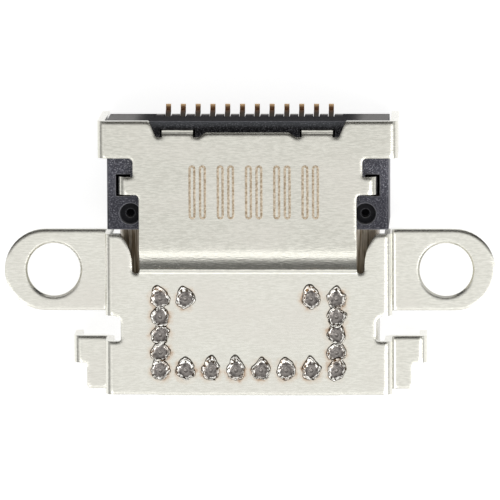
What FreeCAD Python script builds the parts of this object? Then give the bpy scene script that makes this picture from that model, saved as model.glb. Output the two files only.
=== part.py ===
import FreeCAD, Part
import math
import os

# A mid-mount type-C socket: a drawn tube with a folded cover plate welded on top of it,
# a moulded body behind, and twenty-four contacts on a tongue inside the mouth.
# +X runs across the socket, +Y from the mouth to the contact tails, +Z away from the board.
# The origin is the centre of the mouth, on its front edge. All sizes are in millimetres.

# Contacts
contact_count = 12
contact_pitch = 0.50
contact_width = 0.17
contact_sheet = 0.15
signal_inset = 0.45
power_lead = 0.20
power_places = (1, 4)
tail_length = 0.34
tail_slant = 0.32
tail_row_spacing = 1.12
upper_drop_inset = 0.18
lower_tail_length = 0.52
groove_gap = 0.03

# Tongue inside the mouth, with its ground plate and collars
tongue_margin = 0.51
tongue_side_gap = 0.825
tongue_thickness = 0.70
tongue_length = 4.85
tongue_corner = 0.45
tongue_nose = 0.12
root_length = 1.15
root_thickness = 1.14
collar_sheet = 0.12
collar_gap = 0.17
latch_place = 1.95
latch_length = 1.00
latch_depth = 0.40
mid_plate_sheet = 0.15
mid_plate_inset = 0.25
mid_plate_overhang = 0.62

# Drawn tube that takes the plug
mouth_height = 2.56
tube_wall = 0.22
tube_hold = 1.27
mouth_chamfer = 0.07

# Cover plate: sheet, levels and bends
sheet = 0.25
bend_radius = 0.30
foot_radius = 0.10
wall_gap = 0.18
ear_drop = 1.47
rear_rise = 0.40
board_depth = 0.55
leg_reach = 0.85

# Front edge, front tabs and their board legs
front_inset = 0.02
lip_margin = 0.10
tab_reach_out = 0.70
tab_depth = 1.80
tab_corner = 0.14
leg_reach_out = 1.15
leg_width = 0.92
leg_root_round = 0.10
leg_tip_round = 0.16

# Notch between front tab and ear, then the ear with its screw hole
notch_length = 0.87
notch_cut = 0.54
notch_front_round = 0.10
notch_rear_round = 0.26
ear_width = 2.76
hole_from_wall = 1.805
ear_past_hole = 1.66
screw_hole = 1.80
screw_hole_chamfer = 0.06

# Step up to the rear plate, with a relief slot on each side
step_before_ear_end = 0.22
step_radius = 1.40
step_foot_radius = 0.08
strip_inset = 1.075
slot_width = 0.265
slot_past_step = 0.10
slot_straight = 0.28
slot_flare_radius = 1.60

# Rear plate: side recesses, clips, wings and rear edge
recess_round = 0.14
shoulder_step = 0.20
shoulder_length = 0.63
clip_place = 1.19
clip_width = 0.60
clip_wall = 0.365
clip_bend_radius = 0.35
clip_reach = 1.25
wing_gap = 0.065
wing_depth = 1.25
wing_length = 1.415
wing_wall_height = 2.60
edge_setback = 0.38
edge_slant = 0.23
edge_round = 0.08
rear_tab_place = 0.96
rear_tab_width = 1.04
rear_tab_relief = 0.20
rear_tab_root = 0.16
rear_tab_bend_radius = 0.25
rear_tab_reach = 0.95

# Laser weld spots that hold the cover plate to the tube
weld_offset = 0.07
weld_row_count = 8
weld_column_count = 5
weld_row_y = 0.84
weld_column_pitch = 0.605
weld_sides = 12
weld_radius = 0.29
weld_crest = 0.235
weld_basin = 0.14
weld_depth = 0.06
weld_rim = 0.03

# Moulded body
body_gap = 0.18
body_margin = 0.325
body_setback = 0.02
body_base_length = 2.07
body_sink = 0.10
board_gap = 0.05
body_chamfer = 0.07
comb_height = 0.95
pocket_clear = 0.07
tongue_set_back = 0.57
dimple_out = 0.30
dimple_place = 0.53
dimple_radius = 0.36
dimple_depth = 0.20
dimple_pin_radius = 0.15
dimple_pin_depth = 0.60

# Insert-moulded contact carriers
carrier_inset = 0.195
carrier_set_back = 0.25
upper_carrier_height = 0.75
lower_carrier_height = 0.48
carrier_rear_wall = 0.34
window_roof = 0.38
ground_foot_width = 0.30
ground_foot_gap = 0.15

# Widths worked out from the contact pattern outwards; contacts are coined sharp inside their bends
contact_bend = contact_sheet / 2
contact_span = (contact_count - 1) * contact_pitch + contact_width
tongue_width = contact_span + 2 * tongue_margin
mouth_width = tongue_width + 2 * tongue_side_gap
tube_half_width = mouth_width / 2 + tube_wall
tube_half_height = mouth_height / 2 + tube_wall
wall_half = tube_half_width + wall_gap + sheet
tab_half = wall_half + tab_reach_out
leg_half = wall_half + leg_reach_out
notch_half = wall_half - notch_cut
screw_x = wall_half + hole_from_wall
ear_half = screw_x + ear_past_hole
body_half = tube_half_width + body_margin
wing_half = body_half + wing_gap + sheet
strip_half = body_half - strip_inset
shoulder_half = strip_half + shoulder_step
clip_half = body_half - clip_wall
edge_half = body_half - wing_length
rear_tab_x = edge_half - rear_tab_place
weld_half = tube_half_width - tube_half_height + weld_offset
lip_half = weld_half + lip_margin
dimple_x = strip_half + dimple_out
carrier_width = tongue_width - 2 * carrier_inset
ground_foot_x = carrier_width / 2 + ground_foot_gap + ground_foot_width / 2

# Levels
front_top = tube_half_height + sheet
rear_top = front_top + rear_rise
ear_top = front_top - ear_drop
board_z = -board_depth
leg_tip = board_z - leg_reach
body_top = rear_top - sheet
body_bottom = board_z + board_gap
front_block_bottom = -tube_half_height - body_sink
comb_top = board_z + comb_height

# Places along the socket, from the mouth to the tails
tab_rear_y = front_inset + tab_depth
ear_front_y = tab_rear_y + notch_length
ear_rear_y = ear_front_y + ear_width
ear_centre_y = ear_front_y + ear_width / 2
step_angle = math.acos(1 - rear_rise / (step_radius + step_foot_radius))
step_run = (step_radius + step_foot_radius) * math.sin(step_angle)
step_top_y = ear_rear_y - step_before_ear_end
step_foot_y = step_top_y - step_run
slot_end_y = step_foot_y - slot_past_step
body_front_y = ear_rear_y + body_gap
clip_front_y = body_front_y + clip_place
clip_rear_y = clip_front_y + clip_width
wing_front_y = clip_rear_y + shoulder_length
rear_y = wing_front_y + wing_depth
centre_edge_y = rear_y - edge_setback
rear_tab_y = centre_edge_y - rear_tab_root
body_rear_y = rear_y - body_setback
body_base_y = body_front_y + body_base_length
dimple_y = body_front_y + dimple_place
tube_end_y = body_front_y + tube_hold
tongue_base_y = body_front_y + tongue_set_back
tongue_tip_y = tongue_base_y - tongue_length
latch_y = tongue_tip_y + latch_place
carrier_front_y = tongue_base_y + carrier_set_back
carrier_end_y = body_rear_y - carrier_rear_wall
upper_drop_y = body_rear_y - upper_drop_inset
lower_drop_y = upper_drop_y - tail_row_spacing
mid_plate_end_y = lower_drop_y + mid_plate_overhang
window_front_y = lower_drop_y - contact_sheet / 2 - groove_gap
tall = rear_top - leg_tip

# A weld spot is a frozen puddle: a raised rim round a dished middle, set into its seat in the plate
weld_foot = front_top - sheet / 2
weld_seat_rings = [(weld_radius, weld_foot), (weld_radius, front_top + sheet)]
weld_rings = [
    (weld_radius, weld_foot),
    (weld_radius, front_top),
    (weld_crest, front_top + weld_rim),
    (weld_basin, front_top - weld_depth),
]


def point(plane, u, v):
    """Turn in-plane coordinates into a space point on the XY, XZ or YZ plane."""
    if plane == "XY":
        return FreeCAD.Vector(u, v, 0)
    if plane == "XZ":
        return FreeCAD.Vector(u, 0, v)
    return FreeCAD.Vector(0, u, v)


def corner_arc(before, corner, after, radius):
    """Return where an arc of this radius starts, passes and ends at a corner."""
    to_before = (before - corner).normalize()
    to_after = (after - corner).normalize()
    half = to_before.getAngle(to_after) / 2
    bisector = (to_before + to_after).normalize()
    tangent = radius / math.tan(half)
    middle = corner + bisector * (radius / math.sin(half) - radius)
    return corner + to_before * tangent, middle, corner + to_after * tangent


def rounded_face(plane, corners):
    """Make a face from (u, v, radius) corners, each rounded by its own radius."""
    places = [point(plane, u, v) for u, v, _ in corners]
    stretches = []
    for index, (_, _, radius) in enumerate(corners):
        corner = places[index]
        if radius > 0:
            before = places[index - 1]
            after = places[(index + 1) % len(places)]
            stretches.append(corner_arc(before, corner, after, radius))
        else:
            stretches.append((corner, None, corner))
    edges = []
    for index, (start, middle, end) in enumerate(stretches):
        if middle:
            edges.append(Part.Arc(start, middle, end).toShape())
        following = stretches[(index + 1) % len(stretches)][0]
        if (following - end).Length > 1e-6:
            edges.append(Part.LineSegment(end, following).toShape())
    return Part.Face(Part.Wire(edges))


def prism(plane, corners, low, high):
    """Extrude a rounded outline between two levels along the plane's normal."""
    face = rounded_face(plane, corners)
    axis = FreeCAD.Vector(plane == "YZ", plane == "XZ", plane == "XY")
    face.translate(axis * low)
    return face.extrude(axis * (high - low))


def block(x, y, z):
    """Make a box from its (low, high) pairs along X, Y and Z."""
    size = [high - low for low, high in (x, y, z)]
    return Part.makeBox(*size, FreeCAD.Vector(x[0], y[0], z[0]))


def centred_block(width, y, z):
    """Make a box that is centred on X = 0."""
    return block((-width / 2, width / 2), y, z)


def mirrored(shape):
    """Return the shape's twin on the other side of the YZ plane."""
    return shape.mirror(FreeCAD.Vector(0, 0, 0), FreeCAD.Vector(1, 0, 0))


def joined(shapes):
    """Fuse shapes into one solid without seams on flat faces."""
    return shapes[0].fuse(shapes[1:]).removeSplitter()


def both_sides(shape):
    """Join a right half with its mirror image."""
    return joined([shape, mirrored(shape)])


def offset_corner(before, corner, after, shift):
    """Move a path's corner sideways by shift, keeping both runs parallel to the path."""
    first = (corner[0] - before[0], corner[1] - before[1])
    second = (after[0] - corner[0], after[1] - corner[1])
    first_angle = math.atan2(first[1], first[0])
    turn = math.atan2(second[1], second[0]) - first_angle
    turn = math.atan2(math.sin(turn), math.cos(turn))
    middle = first_angle + turn / 2
    stretch = shift / math.cos(turn / 2)
    return corner[0] - math.sin(middle) * stretch, corner[1] + math.cos(middle) * stretch, turn


def strip_corners(path, thickness):
    """Outline a bent strip: path holds (u, v, centre-line bend radius) points."""
    ends = [(2 * path[0][0] - path[1][0], 2 * path[0][1] - path[1][1])]
    ends.append((2 * path[-1][0] - path[-2][0], 2 * path[-1][1] - path[-2][1]))
    full = [ends[0]] + [(u, v) for u, v, _ in path] + [ends[1]]
    sides = []
    for sign in (1, -1):
        side = []
        for index, (_, _, bend) in enumerate(path):
            u, v, turn = offset_corner(*full[index:index + 3], sign * thickness / 2)
            inner = turn * sign > 0
            radius = bend - thickness / 2 if inner else bend + thickness / 2
            side.append((u, v, radius if bend else 0))
        sides.append(side)
    return sides[0] + sides[1][::-1]


def strip(plane, path, thickness, low, high):
    """Make a bent strip of sheet from its centre line."""
    return prism(plane, strip_corners(path, thickness), low, high)


def stadium(half_width, half_height, y_low, y_high):
    """Make a bar with fully rounded ends, as wide and high as the halves given."""
    corners = [
        (-half_width, -half_height, half_height),
        (half_width, -half_height, half_height),
        (half_width, half_height, half_height),
        (-half_width, half_height, half_height),
    ]
    return prism("XZ", corners, y_low, y_high)


def build_inner_shell():
    """Drawn tube that takes the plug, with a bevelled lead-in at the mouth."""
    outside = stadium(tube_half_width, tube_half_height, 0, tube_end_y)
    inside = stadium(mouth_width / 2, mouth_height / 2, -sheet, tube_end_y + sheet)
    tube = outside.cut(inside)
    rim = [edge for edge in tube.Edges if edge.BoundBox.YMax < mouth_chamfer]
    return tube.makeChamfer(mouth_chamfer, rim)


def front_section():
    """Cross-section of the cover over the tube: flat top, side wall, flat ear."""
    top = front_top - sheet / 2
    ear = ear_top - sheet / 2
    wall = wall_half - sheet / 2
    path = [
        (0, top, 0),
        (wall, top, bend_radius - sheet / 2),
        (wall, ear, foot_radius + sheet / 2),
        (ear_half + sheet, ear, 0),
    ]
    return strip("XZ", path, sheet, 0, ear_rear_y)


def front_plan():
    """Plan outline of the cover's right front half, from lip to ear."""
    leg_flat = leg_half - bend_radius
    leg_front_y = tab_rear_y - leg_width
    corners = [
        (0, 0, 0),
        (lip_half, 0, 0),
        (lip_half + front_inset, front_inset, 0),
        (tab_half, front_inset, tab_corner),
        (tab_half, leg_front_y, leg_root_round),
        (leg_flat, leg_front_y, 0),
        (leg_flat, tab_rear_y, 0),
        (notch_half, tab_rear_y, notch_front_round),
        (notch_half, ear_front_y, notch_rear_round),
        (ear_half, ear_front_y, ear_width / 2),
        (ear_half, ear_rear_y, ear_width / 2),
        (strip_half, ear_rear_y, 0),
        (strip_half, step_foot_y, 0),
        (0, step_foot_y, 0),
    ]
    return prism("XY", corners, -tall, tall)


def relief_slot():
    """Cutter for the slot beside the step, flaring out to the plate's rear edge."""
    inner = strip_half
    outer = inner + slot_width
    flare_y = slot_end_y + slot_straight
    rise = ear_rear_y + sheet - flare_y
    flare_x = outer + slot_flare_radius - math.sqrt(slot_flare_radius ** 2 - rise ** 2)
    half_rise = rise / 2
    half_x = outer + slot_flare_radius - math.sqrt(slot_flare_radius ** 2 - half_rise ** 2)
    round_y = slot_end_y + slot_width / 2
    inner_low = point("XY", inner, round_y)
    inner_high = point("XY", inner, flare_y + rise)
    flare_end = point("XY", flare_x, flare_y + rise)
    flare_start = point("XY", outer, flare_y)
    outer_low = point("XY", outer, round_y)
    flare_middle = point("XY", half_x, flare_y + half_rise)
    end_middle = point("XY", (inner + outer) / 2, slot_end_y)
    edges = [
        Part.LineSegment(inner_low, inner_high).toShape(),
        Part.LineSegment(inner_high, flare_end).toShape(),
        Part.Arc(flare_end, flare_middle, flare_start).toShape(),
        Part.LineSegment(flare_start, outer_low).toShape(),
        Part.Arc(outer_low, end_middle, inner_low).toShape(),
    ]
    face = Part.Face(Part.Wire(edges))
    face.translate(FreeCAD.Vector(0, 0, ear_top))
    return face.extrude(FreeCAD.Vector(0, 0, front_top - ear_top + sheet))


def leg_side(front_y, back_y, top):
    """Side-view outline of a board leg, with a rounded tip."""
    return [
        (front_y, top, 0),
        (front_y, leg_tip, leg_tip_round),
        (back_y, leg_tip, leg_tip_round),
        (back_y, top, 0),
    ]


def front_leg():
    """Board leg folded down from the front tab, with a fillet to the tab's end."""
    flat = leg_half - bend_radius
    centre = leg_half - sheet / 2
    path = [
        (flat, ear_top - sheet / 2, 0),
        (centre, ear_top - sheet / 2, bend_radius - sheet / 2),
        (centre, leg_tip - sheet, 0),
    ]
    front_y = tab_rear_y - leg_width
    folded = strip("XZ", path, sheet, front_y, tab_rear_y)
    side = prism("YZ", leg_side(front_y, tab_rear_y, ear_top), 0, ear_half)
    return folded.common(side)


def step_section():
    """Side section of the step and the rear plate, swept across the strip."""
    slope_top = step_radius - sheet / 2
    slope_foot = step_foot_radius + sheet / 2
    low = front_top - sheet / 2
    high = rear_top - sheet / 2
    back = math.tan(step_angle / 2)
    path = [
        (step_foot_y - sheet, low, 0),
        (step_foot_y + slope_foot * back, low, slope_foot),
        (step_top_y - slope_top * back, high, slope_top),
        (rear_y + sheet, high, 0),
    ]
    return strip("YZ", path, sheet, 0, wing_half)


def rear_plan():
    """Plan outline of the rear plate's right half, with recesses, clip and relief cuts."""
    clip_flat = clip_half - clip_bend_radius
    wing_flat = wing_half - bend_radius
    tab_in = rear_tab_x - rear_tab_width / 2
    tab_out = rear_tab_x + rear_tab_width / 2
    corners = [
        (0, step_foot_y, 0),
        (strip_half, step_foot_y, 0),
        (strip_half, clip_front_y, recess_round),
        (clip_flat, clip_front_y, 0),
        (clip_flat, clip_rear_y, 0),
        (shoulder_half, clip_rear_y, 0),
        (shoulder_half, wing_front_y, recess_round),
        (wing_flat, wing_front_y, 0),
        (wing_flat, rear_y, 0),
        (edge_half, rear_y, edge_round),
        (tab_out + rear_tab_relief, rear_tab_y, edge_round),
        (tab_out, rear_tab_y, 0),
        (tab_in, rear_tab_y, 0),
        (tab_in - rear_tab_relief, rear_tab_y, edge_round),
        (tab_in - rear_tab_relief - edge_slant, centre_edge_y, edge_round),
        (0, centre_edge_y, 0),
    ]
    return prism("XY", corners, front_top - 2 * sheet, rear_top + sheet)


def side_clip():
    """Clip folded down from the recess edge into its pocket in the moulded body."""
    flat = clip_half - clip_bend_radius
    centre = clip_half - sheet / 2
    path = [
        (flat, rear_top - sheet / 2, 0),
        (centre, rear_top - sheet / 2, clip_bend_radius - sheet / 2),
        (centre, rear_top - clip_reach, 0),
    ]
    return strip("XZ", path, sheet, clip_front_y, clip_rear_y)


def rear_tab():
    """Retention tab folded down from the rear edge into the moulded body."""
    face_y = rear_tab_y + rear_tab_bend_radius - sheet / 2
    path = [
        (rear_tab_y, rear_top - sheet / 2, 0),
        (face_y, rear_top - sheet / 2, rear_tab_bend_radius - sheet / 2),
        (face_y, rear_top - rear_tab_reach, 0),
    ]
    low = rear_tab_x - rear_tab_width / 2
    return strip("YZ", path, sheet, low, low + rear_tab_width)


def rear_wing():
    """Side wall folded down from the rear plate, ending in a board leg."""
    flat = wing_half - bend_radius
    centre = wing_half - sheet / 2
    path = [
        (flat, rear_top - sheet / 2, 0),
        (centre, rear_top - sheet / 2, bend_radius - sheet / 2),
        (centre, leg_tip - sheet, 0),
    ]
    folded = strip("XZ", path, sheet, wing_front_y, rear_y)
    wall_foot = rear_top - wing_wall_height
    leg_front_y = rear_y - leg_width
    corners = [
        (wing_front_y, rear_top, 0),
        (wing_front_y, wall_foot, leg_tip_round),
        (leg_front_y, wall_foot, leg_tip_round),
        (leg_front_y, leg_tip, leg_tip_round),
        (rear_y, leg_tip, leg_tip_round),
        (rear_y, rear_top, 0),
    ]
    return folded.common(prism("YZ", corners, 0, ear_half))


def weld_places():
    """Centres of the weld spots: a row near the mouth and two columns beside it."""
    half = weld_half
    row_pitch = 2 * half / (weld_row_count - 1)
    places = [(-half + index * row_pitch, weld_row_y) for index in range(weld_row_count)]
    for index in range(1, weld_column_count):
        y = weld_row_y + index * weld_column_pitch
        places += [(-half, y), (half, y)]
    last_y = weld_row_y + (weld_column_count - 1) * weld_column_pitch
    places += [(-half + row_pitch, last_y), (half - row_pitch, last_y)]
    return places


def weld_ring(x, y, radius, level):
    """Corners of one faceted ring of a weld spot."""
    turns = [2 * math.pi * index / weld_sides for index in range(weld_sides)]
    return [FreeCAD.Vector(x + radius * math.cos(turn), y + radius * math.sin(turn), level) for turn in turns]


def weld_solid(x, y, rings):
    """Faceted round solid with flat ends, from (radius, level) rings that rise from its foot."""
    loops = [weld_ring(x, y, radius, level) for radius, level in rings]
    faces = [Part.Face(Part.makePolygon(loop + loop[:1])) for loop in (loops[0], loops[-1])]
    for lower, upper in zip(loops, loops[1:]):
        for index in range(weld_sides):
            corners = [lower[index - 1], lower[index], upper[index], upper[index - 1], lower[index - 1]]
            faces.append(Part.Face(Part.makePolygon(corners)))
    return Part.Solid(Part.Shell(faces))


def build_outer_shield():
    """Folded cover plate with ears, legs, clips and its weld spots, from one sheet."""
    front = front_section().common(front_plan()).cut(relief_slot())
    rear = step_section().common(rear_plan())
    right = joined([front, rear, front_leg(), side_clip(), rear_tab(), rear_wing()])
    cover = both_sides(right)
    for side in (-1, 1):
        centre = FreeCAD.Vector(side * screw_x, ear_centre_y, ear_top - 2 * sheet)
        cover = cover.cut(Part.makeCylinder(screw_hole / 2, 3 * sheet, centre))
    rims = [edge for edge in cover.Edges if is_hole_rim(edge)]
    cover = cover.makeChamfer(screw_hole_chamfer, rims)
    seats = [weld_solid(x, y, weld_seat_rings) for x, y in weld_places()]
    spots = [weld_solid(x, y, weld_rings) for x, y in weld_places()]
    return cover.cut(seats).fuse(spots)


def is_hole_rim(edge):
    """True for the upper edge of a screw hole."""
    box = edge.BoundBox
    flat = box.ZLength < 1e-6 and abs(box.ZMax - ear_top) < 1e-6
    return flat and abs(box.XLength - screw_hole) < 1e-6 and abs(box.YLength - screw_hole) < 1e-6


def contact_x(number):
    """Sideways place of a contact, numbered from 1 at the left."""
    return (number - (contact_count + 1) / 2) * contact_pitch


def contact_tip_y(number):
    """Front end of a contact on the tongue: the outer and power pads reach further forward."""
    from_side = min(number, contact_count + 1 - number)
    lead = power_lead if from_side in power_places else 0
    return tongue_tip_y + signal_inset - lead


def build_contact(number, upper):
    """One contact: a flat pad on the tongue, a drop, slanted at the rear row, and a tail on the board."""
    level = (tongue_thickness - contact_sheet) / 2
    sole = board_z + contact_sheet / 2
    drop_y = upper_drop_y if upper else lower_drop_y
    foot_y = upper_drop_y + tail_slant if upper else lower_drop_y
    end_y = body_rear_y + tail_length if upper else lower_drop_y + lower_tail_length
    path = [
        (contact_tip_y(number), level if upper else -level, 0),
        (drop_y, level if upper else -level, contact_bend),
        (foot_y, sole, contact_bend),
        (end_y, sole, 0),
    ]
    low = contact_x(number) - contact_width / 2
    return strip("YZ", path, contact_sheet, low, low + contact_width)


def ground_foot():
    """Foot of the mid plate that drops to the board beside the inner tails."""
    path = [
        (lower_drop_y - contact_bend - mid_plate_sheet, 0, 0),
        (lower_drop_y, 0, contact_bend),
        (lower_drop_y, board_z + mid_plate_sheet / 2, contact_bend),
        (lower_drop_y + lower_tail_length, board_z + mid_plate_sheet / 2, 0),
    ]
    low = ground_foot_x - ground_foot_width / 2
    return strip("YZ", path, mid_plate_sheet, low, low + ground_foot_width)


def latch_notch(half_width):
    """Cutter for the notch in the tongue's side that the plug's latch drops into."""
    inner = half_width - latch_depth
    corners = [
        (inner, latch_y, 0),
        (tongue_width, latch_y, 0),
        (tongue_width, latch_y + latch_length, 0),
        (inner, latch_y + latch_length, 0),
    ]
    return prism("XY", corners, -tongue_thickness, tongue_thickness)


def build_mid_plate():
    """Ground plate between the two contact rows, with latch notches and board feet."""
    front_y = tongue_tip_y + mid_plate_inset
    shoulder_y = tongue_base_y + mid_plate_inset
    foot_root_y = lower_drop_y - contact_bend - mid_plate_sheet
    foot_out = ground_foot_x + ground_foot_width / 2
    corners = [
        (0, front_y, 0),
        (tongue_width / 2, front_y, tongue_corner),
        (tongue_width / 2, shoulder_y, 0),
        (foot_out, shoulder_y, 0),
        (foot_out, foot_root_y, 0),
        (foot_out - ground_foot_width, foot_root_y, 0),
        (foot_out - ground_foot_width, mid_plate_end_y, mid_plate_inset),
        (0, mid_plate_end_y, 0),
    ]
    plate = prism("XY", corners, -mid_plate_sheet / 2, mid_plate_sheet / 2)
    right = joined([plate.cut(latch_notch(tongue_width / 2)), ground_foot()])
    return both_sides(right)


def build_collar(sign):
    """Ground collar: a folded strip on the tongue's root, up against the body's face."""
    flat = sign * (root_thickness + collar_sheet) / 2
    back_y = tongue_base_y - collar_sheet / 2
    path = [
        (tongue_base_y - root_length, flat, 0),
        (back_y, flat, collar_sheet),
        (back_y, sign * (mouth_height / 2 - collar_gap), 0),
    ]
    return strip("YZ", path, collar_sheet, -tongue_width / 2, tongue_width / 2)


def build_tongue():
    """Tongue and its thicker root, with a rounded nose."""
    half = tongue_thickness / 2
    corners = [
        (0, tongue_tip_y, 0),
        (tongue_width / 2, tongue_tip_y, tongue_corner),
        (tongue_width / 2, tongue_base_y, 0),
        (0, tongue_base_y, 0),
    ]
    blade = prism("XY", corners, -half, half)
    nose = [
        (tongue_tip_y, half - tongue_nose, 0),
        (tongue_tip_y + tongue_nose, half, 0),
        (tongue_base_y, half, 0),
        (tongue_base_y, -half, 0),
        (tongue_tip_y + tongue_nose, -half, 0),
        (tongue_tip_y, -half + tongue_nose, 0),
    ]
    blade = blade.common(prism("YZ", nose, 0, tongue_width))
    blade = both_sides(blade.cut(latch_notch(tongue_width / 2)))
    root_half = root_thickness / 2
    root = centred_block(tongue_width, (tongue_base_y - root_length, tongue_base_y), (-root_half, root_half))
    return joined([blade, root])


def contact_channels(y, z):
    """One cutter for each contact, a little wider than the contact itself."""
    half = contact_width / 2 + groove_gap
    middles = [contact_x(number) for number in range(1, contact_count + 1)]
    return [block((x - half, x + half), y, z) for x in middles]


def tail_grooves():
    """Open grooves at the body's rear face that the outer tails come down in."""
    front_y = upper_drop_y - contact_bend - groove_gap
    return contact_channels((front_y, body_rear_y), (body_bottom, comb_top))


def build_upper_carrier(contacts):
    """Insert-moulded block of the upper contacts, with a comb between their tails."""
    low = mid_plate_sheet / 2
    top = centred_block(carrier_width, (carrier_front_y, carrier_end_y), (low, upper_carrier_height))
    comb = centred_block(carrier_width, (carrier_end_y, body_rear_y), (body_bottom, comb_top))
    bridge_y = (mid_plate_end_y, carrier_end_y)
    bridge = centred_block(carrier_width, bridge_y, (-window_roof, comb_top))
    return joined([top, comb, bridge]).cut(tail_grooves()).cut(contacts)


def build_lower_carrier(contacts):
    """Insert-moulded block of the lower contacts, open below at their tails."""
    high = -mid_plate_sheet / 2
    deep = centred_block(carrier_width, (carrier_front_y, window_front_y), (-lower_carrier_height, high))
    thin = centred_block(carrier_width, (window_front_y, mid_plate_end_y), (-window_roof, high))
    bend_y = (lower_drop_y - contact_bend - groove_gap, lower_drop_y + contact_sheet / 2 + groove_gap)
    bend_room = contact_channels(bend_y, (-lower_carrier_height, contact_sheet - tongue_thickness / 2))
    return joined([deep, thin]).cut(bend_room).cut(contacts)


def build_envelope():
    """Outer form of the moulded body before anything is cut out of it."""
    side = [
        (body_front_y, front_block_bottom, body_chamfer),
        (body_base_y, front_block_bottom, body_chamfer),
        (body_base_y, body_bottom, 0),
        (body_rear_y, body_bottom, 0),
        (body_rear_y, body_top, 0),
        (body_front_y, body_top, 0),
    ]
    form = prism("YZ", side, -body_half, body_half)
    edge = body_chamfer
    section = [
        (-body_half, front_block_bottom, 0),
        (body_half, front_block_bottom, 0),
        (body_half, body_top - edge, 0),
        (body_half - edge, body_top, 0),
        (-body_half + edge, body_top, 0),
        (-body_half, body_top - edge, 0),
    ]
    return form.common(prism("XZ", section, body_front_y, body_rear_y))


def clip_pocket():
    """Pocket in the body's side that takes the cover's clip."""
    outer = clip_half + pocket_clear
    inner = clip_half - clip_bend_radius - pocket_clear
    y = (clip_front_y - pocket_clear, clip_rear_y + pocket_clear)
    z = (rear_top - clip_reach - pocket_clear, body_top + sheet)
    return block((inner, outer), y, z)


def tab_slot():
    """Slot in the body's top that takes the cover's rear retention tab."""
    half = rear_tab_width / 2 + pocket_clear
    y = (rear_tab_y, rear_tab_y + rear_tab_bend_radius)
    return block((rear_tab_x - half, rear_tab_x + half), y, (rear_top - rear_tab_reach, body_top + sheet))


def dimple():
    """Round recess with a pin mark in the body's top, beside the rear plate."""
    top = FreeCAD.Vector(dimple_x, dimple_y, body_top)
    down = FreeCAD.Vector(0, 0, -1)
    dish = Part.makeCylinder(dimple_radius, dimple_depth, top, down)
    pin = Part.makeCylinder(dimple_pin_radius, dimple_pin_depth, top, down)
    return dish.fuse(pin)


def tail_window():
    """Opening under the body at the inner row of tails."""
    width = 2 * ground_foot_x + ground_foot_width + 2 * pocket_clear
    return centred_block(width, (window_front_y, carrier_end_y), (front_block_bottom, -window_roof))


def build_housing(inserts, tube):
    """Moulded body with the tongue, cut to fit round everything it is moulded on."""
    hollow = stadium(mouth_width / 2, mouth_height / 2, 0, tongue_base_y)
    bore = stadium(tube_half_width, tube_half_height, 0, tongue_base_y)
    body = build_envelope().cut(bore.cut(hollow)).cut(hollow)
    body = joined([body, build_tongue()])
    right_cuts = [clip_pocket(), tab_slot(), dimple()]
    left_cuts = [mirrored(cut) for cut in right_cuts]
    body = body.cut(right_cuts + left_cuts + tail_grooves() + [tail_window(), tube])
    body = body.cut(inserts)
    solids = sorted(body.Solids, key=lambda solid: solid.Volume)
    return solids[-1]


def save(name, shape):
    """Write one piece to its own file, after checking that it is sound."""
    solids = shape.Solids
    print(name, "solids", len(solids), "valid", shape.isValid(), "volume", round(shape.Volume, 4))
    whole = solids[0] if len(solids) == 1 else shape
    whole.exportStep("parts/" + name + ".step")


def main():
    os.makedirs("parts", exist_ok=True)
    tube = build_inner_shell()
    uppers = [build_contact(number, True) for number in range(1, contact_count + 1)]
    lowers = [build_contact(number, False) for number in range(1, contact_count + 1)]
    mid_plate = build_mid_plate()
    upper_carrier = build_upper_carrier(uppers)
    lower_carrier = build_lower_carrier(lowers)
    collars = [build_collar(1), build_collar(-1)]
    inserts = uppers + lowers + [mid_plate, upper_carrier, lower_carrier] + collars
    save("outer_shield", build_outer_shield())
    save("inner_shell", tube)
    save("housing", build_housing(inserts, tube))
    save("upper_carrier", upper_carrier)
    save("lower_carrier", lower_carrier)
    save("mid_plate", mid_plate)
    save("upper_ground_collar", collars[0])
    save("lower_ground_collar", collars[1])
    for number in range(1, contact_count + 1):
        save("upper_contact_%02d" % number, uppers[number - 1])
        save("lower_contact_%02d" % number, lowers[number - 1])


main()
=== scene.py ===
import bpy
import bmesh
import math
import random
from mathutils import Matrix, Quaternion, Vector, noise


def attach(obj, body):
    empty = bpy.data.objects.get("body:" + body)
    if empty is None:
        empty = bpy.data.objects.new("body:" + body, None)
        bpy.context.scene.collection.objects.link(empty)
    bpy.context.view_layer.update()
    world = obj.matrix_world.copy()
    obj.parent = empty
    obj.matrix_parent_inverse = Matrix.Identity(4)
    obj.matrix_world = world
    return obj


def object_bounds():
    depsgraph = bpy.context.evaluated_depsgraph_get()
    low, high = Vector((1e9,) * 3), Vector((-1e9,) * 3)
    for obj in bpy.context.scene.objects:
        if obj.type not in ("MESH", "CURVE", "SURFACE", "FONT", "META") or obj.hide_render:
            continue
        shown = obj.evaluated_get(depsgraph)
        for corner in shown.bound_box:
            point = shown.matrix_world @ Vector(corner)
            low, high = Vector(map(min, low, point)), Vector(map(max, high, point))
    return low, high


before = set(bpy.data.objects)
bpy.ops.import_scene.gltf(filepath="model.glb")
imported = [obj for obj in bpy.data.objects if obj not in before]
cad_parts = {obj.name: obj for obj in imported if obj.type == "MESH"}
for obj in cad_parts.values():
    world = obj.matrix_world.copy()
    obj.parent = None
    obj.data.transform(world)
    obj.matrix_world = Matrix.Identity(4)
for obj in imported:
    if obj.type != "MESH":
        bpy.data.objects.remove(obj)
cad_box = [list(corner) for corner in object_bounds()]
scene = bpy.context.scene
scene.view_settings.view_transform = "Standard"
mm = 0.001


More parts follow.
